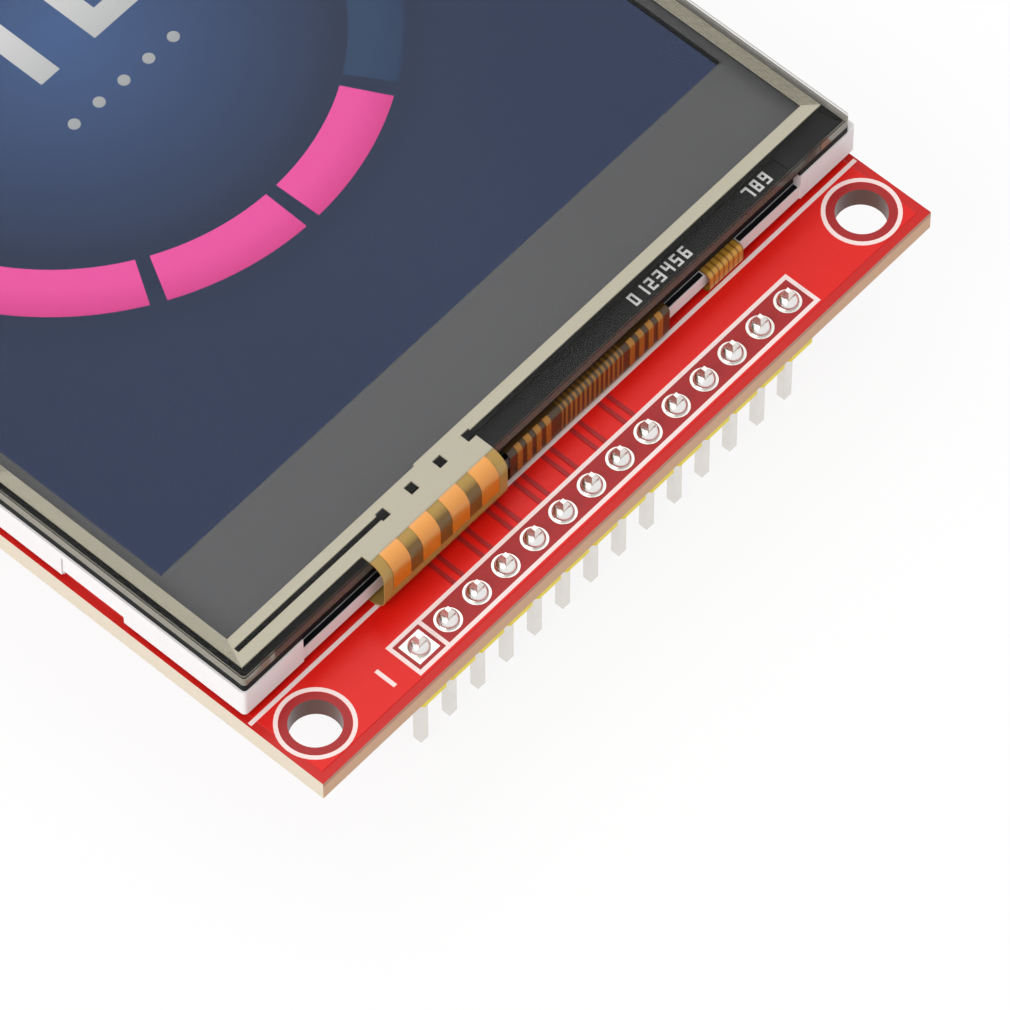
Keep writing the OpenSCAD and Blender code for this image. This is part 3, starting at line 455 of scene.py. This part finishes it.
pour = band(board_low.x + POUR_EDGE, board_high.x - POUR_EDGE,
            board_low.y + POUR_EDGE, board_high.y - POUR_EDGE)
half = pitch / 2
header_bare = band(first_pin_x - half, last_pin_x + half, pin_y - half, pin_y + half)
side_x = sum_of(tree, "SUBTRACT", sum_of(tree, "ABSOLUTE", x), 24.47 * MM)
side_y = sum_of(tree, "SUBTRACT", sum_of(tree, "ABSOLUTE", y), 41.51 * MM)
hole_bare = use(tree, round_spot, X=side_x, Y=side_y, Radius=RING_CLEAR)[0]
trace_zone = band(first_pin_x + 1.5 * pitch, first_pin_x + 8.5 * pitch, pin_y + half, pin_y + 4 * pitch)
etched = 0.0
for side in (-1, 1):
    line = use(tree, row_of_lines, Position=x, Start=first_pin_x + side * TRACE_SIDE, Pitch=pitch,
               Width=TRACE_GAP, Softness=0.08 * MM)[0]
    etched = sum_of(tree, "MAXIMUM", etched, line)
etched = sum_of(tree, "MULTIPLY", etched, trace_zone)
bare = sum_of(tree, "MAXIMUM", sum_of(tree, "MAXIMUM", header_bare, hole_bare), etched)
copper = sum_of(tree, "MULTIPLY", pour, sum_of(tree, "SUBTRACT", 1.0, bare))
edge_band = mix(tree, pour, EDGE_RED, BARE_RED)
face = mix(tree, copper, edge_band, COPPER_RED)
sawn = use(tree, side_faces)[0]
outline = band(board_low.x + 0.02 * MM, board_high.x - 0.02 * MM,
               board_low.y + 0.02 * MM, board_high.y - 0.02 * MM, softness=0.01 * MM)
# Painted shade: side faces inside the board's outline are the walls of the mounting holes, painted dark
# brown as the shade inside them.
shaded_hole_walls = sum_of(tree, "MULTIPLY", sawn, outline)
# Painted light: the board's left sawn edge is painted cream, lighter than the others, for the lamp on
# the left. The other sawn edges turn darker below their top 0.45 mm.
lit_left_edge = clamp(tree, sum_of(tree, "DIVIDE", sum_of(tree, "SUBTRACT", board_low.x + 0.02 * MM, x),
                               0.01 * MM))
upper = clamp(tree, sum_of(tree, "DIVIDE", sum_of(tree, "SUBTRACT", z, board_high.z - 0.45 * MM),
                           0.15 * MM))
cut = mix(tree, lit_left_edge, mix(tree, upper, FIBRE, screen(176, 112, 84)), LIT_LEFT_CREAM)
cut = mix(tree, shaded_hole_walls, cut, HOLE_SHADE_BROWN)
lacquer.tint(mix(tree, sawn, face, cut))
COPPER_RISE = 0.035 * MM
step = tree.nodes.new("ShaderNodeBump")
step.inputs["Distance"].default_value = COPPER_RISE
feed(tree, step.inputs["Height"], copper)
feed(tree, step.inputs["Normal"], lacquer.bump.outputs[0])
feed(tree, lacquer.shader.inputs["Normal"], step.outputs[0])
dress(lacquer, "board")
print("pin pitch in mm:", round(pitch / MM, 3))

# %% [markdown]
# The print on the board is a thin layer of pinkish white ink that the red shines through a
# little. The pads round the pins are tinned.

# %% Finish the print and the pads
ink = Finish("white_ink", screen(250, 226, 222), 0.55, grain=1500.0, amount=0.04, relief=0.004)
dress(ink, "front_print", "back_print")
tinned = Finish("tinned_pads", screen(214, 210, 204), 0.25, metal=1.0, grain=700.0, amount=0.08)
dress(tinned, "plated_pads")

# %% [markdown]
# ## The pin header
# Tin-plated pins stand in a bright yellow plastic strip under the board. Their tops stick out
# of the solder. Bright metal takes its looks from what it mirrors, so its own colour is
# plain, and only the roughness wanders.

# %% Finish the pins, the solder and the strip
pin_tin = Finish("pin_tin", screen(226, 222, 216), 0.24, metal=1.0, grain=900.0, amount=0.08,
                 relief=0.004)
dress(pin_tin, "header_pin*")
solder = Finish("solder", screen(232, 230, 228), 0.2, metal=1.0, grain=1400.0, amount=0.08,
                relief=0.012)
strip_plastic = Finish("yellow_plastic", screen(250, 226, 40), 0.4, grain=800.0, amount=0.05)
dress(strip_plastic, "header_body")

# %% [markdown]
# Molten solder pulls itself into a small rounded mound against each pin. A short upright
# curve, spun about the pin's own axis, gives one mound. The first point lies on the pad and
# the last against the pin, so the mound has no open edge that could be seen.

# %% Build the solder mounds
def add_piece(name, shape, finish):
    """Makes an object of a finished bmesh, with its material, riding on the body."""
    mesh = bpy.data.meshes.new(name)
    bmesh.ops.recalc_face_normals(shape, faces=shape.faces)
    shape.to_mesh(mesh)
    shape.free()
    piece = bpy.data.objects.new(name, mesh)
    bpy.context.scene.collection.objects.link(piece)
    mesh.materials.append(finish.material)
    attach(piece, "root")
    return piece


solder_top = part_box("header_solder")[1].z
MOUND_FOOT = 0.72 * MM
MOUND_TOP = 0.40 * MM
MOUND_STEPS = 7
MOUND_SIDES = 28
mound_height = solder_top - board_high.z
mounds = bmesh.new()
for number in range(14):
    middle = Vector((first_pin_x + number * pitch, pin_y, board_high.z))
    outline = []
    for turn_step in range(MOUND_STEPS + 1):
        rise = turn_step / MOUND_STEPS
        radius = MOUND_TOP + (MOUND_FOOT - MOUND_TOP) * (1 - rise ** 2.2)
        outline.append(mounds.verts.new(middle + Vector((radius, 0, mound_height * rise))))
    outline.append(mounds.verts.new(middle + Vector((0, 0, mound_height * 1.02))))
    outline.insert(0, mounds.verts.new(middle))
    curve = [mounds.edges.new(pair) for pair in zip(outline, outline[1:])]
    bmesh.ops.spin(mounds, geom=outline + curve, cent=middle, axis=(0, 0, 1), angle=6.283185307,
                   steps=MOUND_SIDES, use_merge=True)
bmesh.ops.remove_doubles(mounds, verts=mounds.verts, dist=0.001 * MM)
for side in mounds.faces:
    side.smooth = True
solder_mounds = add_piece("solder_mounds", mounds, solder)
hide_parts("header_solder")
print("solder mounds:", len(solder_mounds.data.polygons), "faces")

# %% [markdown]
# ## The white frame and what is in it
# The frame is moulded in a hard white plastic with a fine matt skin. The sheets of the
# backlight are hidden by the picture, and show only as thin lines at the edges.

# %% Finish the frame and the backlight
frame_plastic = Finish("white_plastic", screen(240, 236, 236), 0.42, grain=700.0, amount=0.02,
                       relief=0.006)
dress(frame_plastic, "backlight_frame")
foam = Finish("foam_tape", screen(226, 222, 212), 0.9, grain=1600.0, amount=0.12, relief=0.05)
dress(foam, "mounting_tape")
film = Finish("backlight_film", screen(236, 240, 242), 0.35, grain=500.0, amount=0.03)
dress(film, "reflector_sheet", "diffuser_sheet", "prism_sheet", "light_guide")
lamp_face = Finish("lamp_face", screen(244, 234, 170), 0.3, grain=900.0, amount=0.06)
dress(lamp_face, "led_1", "led_2", "led_3", "led_4", "led_5", "led_6")
silicon = Finish("silicon", screen(60, 62, 66), 0.2, metal=0.4, grain=900.0, amount=0.1)
dress(silicon, "driver_chip")

# %% [markdown]
# ## Glass and polarizers
# Glass in a thin flat stack bends nothing that the eye would notice, so it needs no
# refraction: a see-through surface with a faint skin does, and it lets lamps through to what
# lies below. Its sides are another matter. The cut edge of a pane looks solid, in a grey
# olive, and at a low angle the face turns into a mirror. The first is a mask, the second is
# Fresnel, and both feed the alpha. Only the very top of the stack faces the air, so only its
# upper face gets the mirror and a faint haze, and the faces below stay fully clear.

# %% Finish the clear pieces
def clear_finish(name, skin, side_colour, haze, side_alpha, roughness=0.08, box=None):
    """A clear sheet. With a box given, its front face is clear too, except near the corners."""
    finish = Finish(name, skin, roughness, grain=300.0, amount=0.02, relief=0)
    tree = finish.tree
    sides, upper = use(tree, side_faces)
    finish.tint(mix(tree, sides, skin, side_colour))
    face_alpha = 0.0
    if haze:
        mirror = tree.nodes.new("ShaderNodeFresnel")
        mirror.inputs["IOR"].default_value = 1.45
        extra = clamp(tree, sum_of(tree, "SUBTRACT", mirror.outputs[0], 0.035))
        face_alpha = sum_of(tree, "MULTIPLY", upper, sum_of(tree, "ADD", extra, haze))
    side_part = sum_of(tree, "MULTIPLY", sides, side_alpha)
    if box:
        low, high = box
        x, y, z = place_of(tree)
        clear_part = use(tree, rectangle, X=x, Y=y, Left=low.x + CORNER_GREY, Right=high.x - CORNER_GREY,
                         Front=low.y - MM, Far=low.y + 0.02 * MM, Softness=0.3 * MM)[0]
        side_part = sum_of(tree, "MULTIPLY", side_part, sum_of(tree, "SUBTRACT", 1.0, clear_part))
    alpha = clamp(tree, sum_of(tree, "MAXIMUM", face_alpha, side_part))
    feed(tree, finish.shader.inputs["Alpha"], alpha)
    return finish


CORNER_GREY = 2.7 * MM
pane = clear_finish("touch_pane", screen(120, 122, 116), screen(140, 134, 118), 0.0, 0.85,
                    box=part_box("touch_glass"))
dress(pane, "touch_glass")
top_film = clear_finish("touch_film", screen(120, 122, 116), screen(150, 145, 128), 0.02, 0.5,
                        box=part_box("touch_film"))
dress(top_film, "touch_film")
panel_glass = clear_finish("panel_glass", screen(110, 120, 118), screen(120, 140, 134), 0.0, 0.6)
dress(panel_glass, "rear_glass", "front_glass")

# %% [markdown]
# The upper polarizer is dark grey wherever the panel isn't lit, and clear over the picture.
# A soft-edged rectangle on the picture's own outline tells the two apart.

# %% Finish the polarizers
picture_low, picture_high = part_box("picture_field")
polarizer = Finish("grey_polarizer", screen(86, 86, 88), 0.35, grain=300.0, amount=0.02,
                   relief=0.002, gloss=0.15)
tree = polarizer.tree
x, y, z = place_of(tree)
lit_part = use(tree, rectangle, X=x, Y=y, Left=picture_low.x, Right=picture_high.x,
               Front=picture_low.y, Far=picture_high.y, Softness=0.15 * MM)[0]
polarizer_alpha = sum_of(tree, "SUBTRACT", 1.0, lit_part)
feed(tree, polarizer.shader.inputs["Alpha"], polarizer_alpha)
dress(polarizer, "upper_polarizer")
dark_polarizer = Finish("dark_polarizer", screen(62, 64, 68), 0.4, grain=300.0, amount=0.03)
dress(dark_polarizer, "lower_polarizer")

# %% [markdown]
# ## The picture
# A lit picture gives its own light, so its colours go to the emission and not to the base
# colour. The field is navy, lighter behind the numerals and darker round the ring, as
# designs of this kind are. The ring's blocks are shaded across their width, so that they look
# rounded. Distances from the ring's middle drive both.

# %% Finish the picture
GAUGE_R = 19.4 * MM
GAUGE_W = 3.4 * MM
GAUGE_DROP = 1.1 * MM
ring_centre = (picture_low + picture_high) / 2 - Vector((0, GAUGE_DROP, 0))


class Glow:
    """A material that gives light and mirrors almost nothing."""

    def __init__(self, name, gain):
        self.material = bpy.data.materials.new(name)
        self.material.use_nodes = True
        self.tree = self.material.node_tree
        self.shader = self.tree.nodes["Principled BSDF"]
        self.shader.inputs["Base Color"].default_value = (0, 0, 0, 1)
        self.shader.inputs["Specular IOR Level"].default_value = 0.0
        self.shader.inputs["Roughness"].default_value = 0.6
        self.shader.inputs["Emission Strength"].default_value = gain

    def light(self, colour):
        feed(self.tree, self.shader.inputs["Emission Color"], colour)


def from_ring(tree):
    """How far the shaded point lies from the middle of the ring gauge."""
    x, y, z = place_of(tree)
    dx = sum_of(tree, "SUBTRACT", x, ring_centre.x)
    dy = sum_of(tree, "SUBTRACT", y, ring_centre.y)
    square = sum_of(tree, "ADD", sum_of(tree, "MULTIPLY", dx, dx), sum_of(tree, "MULTIPLY", dy, dy))
    return sum_of(tree, "SQRT", square)


GLOW = 1.0
field = Glow("picture_field", GLOW)
tree = field.tree
distance = from_ring(tree)
middle = clamp(tree, sum_of(tree, "SUBTRACT", 1.0, sum_of(tree, "DIVIDE", distance, 17 * MM)))
cloud = tree.nodes.new("ShaderNodeTexNoise")
cloud.inputs["Scale"].default_value = 22.0
source = tree.nodes.new("ShaderNodeTexCoord")
feed(tree, cloud.inputs["Vector"], source.outputs["Object"])
navy = mix(tree, cloud.outputs[0], screen(46, 55, 82), screen(52, 64, 92))
navy = mix(tree, sum_of(tree, "POWER", middle, 1.2), navy, screen(72, 98, 144))
near_ring = sum_of(tree, "ABSOLUTE", sum_of(tree, "SUBTRACT", distance, GAUGE_R))
shadow = clamp(tree, sum_of(tree, "SUBTRACT", 1.0, sum_of(tree, "DIVIDE", near_ring, 4.2 * MM)))
navy = mix(tree, sum_of(tree, "MULTIPLY", shadow, 0.55), navy, screen(40, 48, 70))
field.light(navy)
dress(field, "picture_field")


def ring_finish(name, bright, dark):
    finish = Glow(name, GLOW)
    tree = finish.tree
    distance = from_ring(tree)
    across = sum_of(tree, "DIVIDE", sum_of(tree, "SUBTRACT", distance, GAUGE_R), GAUGE_W)
    outwards = clamp(tree, sum_of(tree, "MULTIPLY_ADD", across, 1.1, 0.1))
    finish.light(mix(tree, outwards, bright, dark))
    return finish


dress(ring_finish("ring_slate", screen(54, 74, 104), screen(44, 62, 92)), "picture_gauge")
dress(ring_finish("ring_pink", screen(240, 88, 166), screen(206, 62, 128)), "picture_arc")
silver = Glow("picture_silver", GLOW)
tree = silver.tree
x, y, z = place_of(tree)
digits_low, digits_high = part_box("picture_digits")
height = sum_of(tree, "DIVIDE", sum_of(tree, "SUBTRACT", y, digits_low.y), digits_high.y - digits_low.y)
silver.light(mix(tree, height, screen(168, 170, 172), screen(240, 240, 238)))
dress(silver, "picture_digits")
print("picture size in mm:", [round(v / MM, 1) for v in picture_high - picture_low])

# %% [markdown]
# ## The touch panel's print
# Beige silver paste runs round the window between glass and film, over a black adhesive ring.
# The black shield tape under it carries a few plain numerals.

# %% Finish the touch panel's inside
paste = Finish("silver_paste", screen(186, 180, 160), 0.5, grain=180.0, amount=0.03, relief=0.006,
               gloss=0.3)
dress(paste, "touch_electrodes")
adhesive = Finish("black_adhesive", screen(24, 25, 26), 0.55, grain=300.0, amount=0.05, relief=0.004,
                  gloss=0.1)
dress(adhesive, "touch_gasket")
tape = Finish("black_tape", screen(23, 23, 25), 0.5, grain=300.0, amount=0.05, relief=0.004,
              gloss=0.1)
dress(tape, "shield_tape")
numeral_ink = Finish("grey_ink", screen(214, 214, 212), 0.6, grain=900.0, amount=0.06)
dress(numeral_ink, "panel_marks")

# %% [markdown]
# Black tape also lies on the low front rail of the white frame, on both sides of the lamp
# strip's tail. Its black also stands as painted shade for the dark notch over the rail. It is
# thinner than any solid, so it is made here: a cube, stretched to the strip's size, with its
# edges broken by a small bevel.

# %% Lay the tape on the rail
def add_slab(name, low, high, finish, edge):
    """A flat strip between two corners, with softened edges."""
    shape = bmesh.new()
    bmesh.ops.create_cube(shape, size=1.0)
    bmesh.ops.scale(shape, verts=shape.verts, vec=high - low)
    bmesh.ops.translate(shape, verts=shape.verts, vec=(low + high) / 2)
    bmesh.ops.bevel(shape, geom=shape.edges[:], offset=edge, segments=2, profile=0.5, affect="EDGES",
                    material=-1)
    return add_piece(name, shape, finish)


shield_low, shield_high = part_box("shield_tape")
RAIL_FRONT = 0.15 * MM
TAPE_THICK = 0.05 * MM
TAIL_LEFT = 13.8 * MM
TAIL_RIGHT = 16.9 * MM
TAIL_CLEAR = 0.12 * MM
rail_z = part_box("led_1")[1].z
rail_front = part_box("backlight_frame")[0].y + RAIL_FRONT
rail_far = shield_low.y
# The black strips on the rail are tape, and their black also stands as painted shade in the notch over
# the rail.
for name, left, right in (("rail_tape_and_shade_left", shield_low.x, TAIL_LEFT - TAIL_CLEAR),
                          ("rail_tape_and_shade_right", TAIL_RIGHT + TAIL_CLEAR, shield_high.x)):
    add_slab(name, Vector((left, rail_front, rail_z)),
             Vector((right, rail_far - 0.02 * MM, rail_z + TAPE_THICK)), tape, 0.01 * MM)
print("tape lies on the rail at z", round(rail_z / MM, 2), "mm")

# %% [markdown]
# ## The ribbons
# Each ribbon is amber film with copper tracks on it. The film is half clear: what lies behind
# it shows through as brown. The wide bars of the touch ribbon are bright, and glossy from the
# film over them. Their upper part is painted lighter, as a painted highlight where they bend.

# %% Finish the ribbons
bars_low, bars_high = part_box("touch_copper")
BAR_WIDTH = 1.5 * MM
bar_pitch = (bars_high.x - bars_low.x - BAR_WIDTH) / 3
amber = Finish("amber_film", screen(196, 160, 70), 0.22, grain=300.0, amount=0.06, gloss=0.5)
tree = amber.tree
x, y, z = place_of(tree)
gap_lines = use(tree, row_of_lines, Position=x, Start=bars_low.x + (BAR_WIDTH + bar_pitch) / 2,
                Pitch=bar_pitch, Width=bar_pitch - BAR_WIDTH + 0.2 * MM, Softness=0.1 * MM)[0]
gap_zone = use(tree, rectangle, X=x, Y=z, Left=bars_low.x, Right=bars_high.x,
               Front=bars_low.z - 0.1 * MM, Far=bars_high.z - 0.25 * MM, Softness=0.3 * MM)[0]
gaps = sum_of(tree, "MULTIPLY", gap_lines, gap_zone)
amber.tint(mix(tree, gaps, screen(198, 160, 84), screen(116, 84, 30)))
feed(tree, amber.shader.inputs["Alpha"], sum_of(tree, "MULTIPLY_ADD", gaps, 0.25, 0.7))
dress(amber, "touch_ribbon")
bars = Finish("copper_bars", screen(226, 146, 26), 0.3, metal=0.1, grain=300.0, amount=0.04)
tree = bars.tree
x, y, z = place_of(tree)
# Painted highlight: the bars turn lighter towards their top, where they bend over the edge.
up = clamp(tree, sum_of(tree, "DIVIDE", sum_of(tree, "SUBTRACT", z, bars_low.z),
                        bars_high.z - bars_low.z))
bars.tint(mix(tree, sum_of(tree, "POWER", up, 4.0), screen(214, 128, 14), screen(238, 162, 78)))
bars.shader.inputs["Coat Weight"].default_value = 0.5
bars.shader.inputs["Coat Roughness"].default_value = 0.15
dress(bars, "touch_copper")
ribbon_low, ribbon_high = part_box("display_ribbon")
dark_ribbon = Finish("dark_ribbon", screen(74, 52, 24), 0.3, grain=300.0, amount=0.08)
tree = dark_ribbon.tree
x, y, z = place_of(tree)
fine_tracks = use(tree, row_of_lines, Position=x, Start=ribbon_low.x, Pitch=0.42 * MM,
                  Width=0.2 * MM, Softness=0.06 * MM)[0]
fine_zone = use(tree, rectangle, X=x, Y=z, Left=ribbon_low.x + 4.6 * MM, Right=ribbon_high.x - 4.2 * MM,
                Front=ribbon_low.z, Far=ribbon_high.z, Softness=0.05 * MM)[0]
dark_ribbon.tint(mix(tree, sum_of(tree, "MULTIPLY", fine_tracks, fine_zone),
                     screen(74, 52, 24), screen(150, 104, 40)))
dress(dark_ribbon, "display_ribbon")
tracks = Finish("ribbon_tracks", screen(166, 112, 40), 0.3, metal=0.2, grain=300.0, amount=0.08)
dress(tracks, "display_copper")
gold_ribbon = Finish("gold_ribbon", screen(206, 152, 60), 0.3, metal=0.15, grain=300.0, amount=0.06)
tree = gold_ribbon.tree
x, y, z = place_of(tree)
ribs = use(tree, row_of_lines, Position=x, Start=TAIL_LEFT, Pitch=0.44 * MM, Width=0.14 * MM,
           Softness=0.08 * MM)[0]
gold_ribbon.tint(mix(tree, ribs, screen(212, 158, 62), screen(150, 98, 30)))
dress(gold_ribbon, "led_strip")

# %% [markdown]
# ## The parts under the board
# A steel card socket, a controller chip and small parts sit on the underside.

# %% Finish the underside
steel = Finish("shell_steel", screen(200, 202, 204), 0.28, metal=1.0, grain=500.0, amount=0.06,
               relief=0.006)
dress(steel, "socket_shell")
black_plastic = Finish("black_plastic", screen(28, 28, 30), 0.5, grain=900.0, amount=0.15,
                       relief=0.02, gloss=0.3)
dress(black_plastic, "socket_base", "touch_controller", "small_chips")
gold = Finish("contact_gold", screen(226, 180, 90), 0.22, metal=1.0, grain=700.0, amount=0.06)
dress(gold, "socket_contacts")
tin = Finish("lead_tin", screen(206, 208, 208), 0.3, metal=1.0, grain=900.0, amount=0.08)
dress(tin, "chip_leads")
ceramic = Finish("resistor_ceramic", screen(32, 32, 36), 0.4, grain=900.0, amount=0.12)
dress(ceramic, "resistors")
capacitor_body = Finish("capacitor_ceramic", screen(182, 150, 108), 0.45, grain=900.0, amount=0.08)
dress(capacitor_body, "capacitors")
